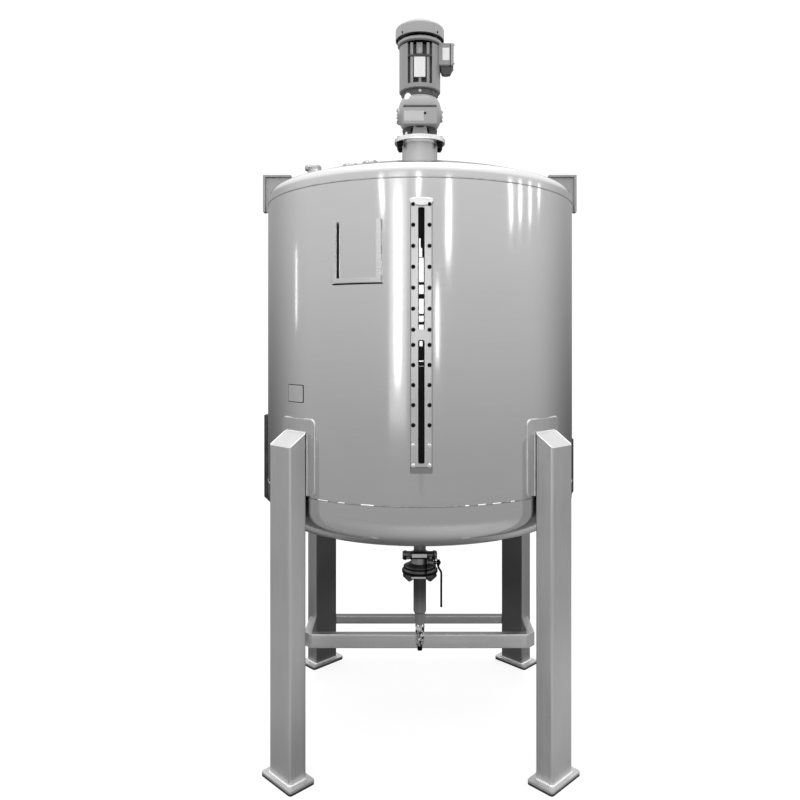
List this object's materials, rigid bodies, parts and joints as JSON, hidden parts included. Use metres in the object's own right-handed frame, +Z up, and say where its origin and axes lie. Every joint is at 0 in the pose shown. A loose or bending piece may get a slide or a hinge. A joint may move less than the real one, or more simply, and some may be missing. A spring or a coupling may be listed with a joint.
{
  "type": "mixing tank",
  "caption": "Upright stainless mixing tank with dished ends on square-set legs, a long front sight strip, a bottom drain valve with a lever and a motor with gearbox on top.",
  "frame": {"origin": "on the floor, on the upright axis of the vessel", "axes": "+Z up along the vessel's axis; the sight strip faces -Y; the valve lever is on the +X side"},
  "size_m": [1.47, 1.4326, 3.235],
  "materials": {
    "polished_steel": "polished sheet with a soft vertical sheen",
    "satin_steel": "satin tube and plate",
    "dark_steel": "dark dull steel",
    "drive_paint": "grey machine paint",
    "bright_chrome": "bright plating",
    "black_rubber": "matt black",
    "sight_glass": "clear glass that reads black over the dark inside"
  },
  "bodies": {
    "tank": {"back_rail": "satin_steel", "base_plate_back_left": "satin_steel", "base_plate_back_right": "satin_steel", "base_plate_front_left": "satin_steel", "base_plate_front_right": "satin_steel", "bottom_head": "polished_steel", "cable_gland": "dark_steel", "cross_rail": "satin_steel", "drain_pipe": "satin_steel", "drain_tip": "black_rubber", "fan_cowl": "drive_paint", "gearbox": "drive_paint", "lantern": "drive_paint", "leg_back_left": "satin_steel", "leg_back_right": "satin_steel", "leg_front_left": "satin_steel", "leg_front_right": "satin_steel", "leg_pad_back_left": "polished_steel", "leg_pad_back_right": "polished_steel", "leg_pad_front_left": "polished_steel", "leg_pad_front_right": "polished_steel", "lifting_ear_left": "polished_steel", "lifting_ear_right": "polished_steel", "motor_body": "drive_paint", "motor_flange": "drive_paint", "mount_flange": "polished_steel", "mount_tube": "polished_steel", "nozzle_inner": "polished_steel", "nozzle_middle": "polished_steel", "nozzle_outer": "polished_steel", "outlet_clamp": "dark_steel", "outlet_neck": "satin_steel", "plate_holder": "polished_steel", "rubber_foot_back_left": "black_rubber", "rubber_foot_back_right": "black_rubber", "rubber_foot_front_left": "black_rubber", "rubber_foot_front_right": "black_rubber", "sample_cock": "bright_chrome", "shell": "polished_steel", "side_bar_left": "dark_steel", "side_bar_right": "dark_steel", "side_rail_left": "satin_steel", "side_rail_right": "satin_steel", "sight_cover": "satin_steel", "sight_frame": "polished_steel", "sight_glass_lower": "sight_glass", "sight_glass_upper": "sight_glass", "terminal_box": "drive_paint", "top_head": "polished_steel", "valve_body": "satin_steel"},
    "lever": {"valve_lever": "dark_steel"}
  },
  "joints": [
    {"name": "drain_valve_lever", "type": "hinge", "parent": "tank", "child": "lever", "pos_m": [0.0872, 0, 0.7], "axis": [-1, 0, 0], "range_deg": [0, 90]}
  ]
}
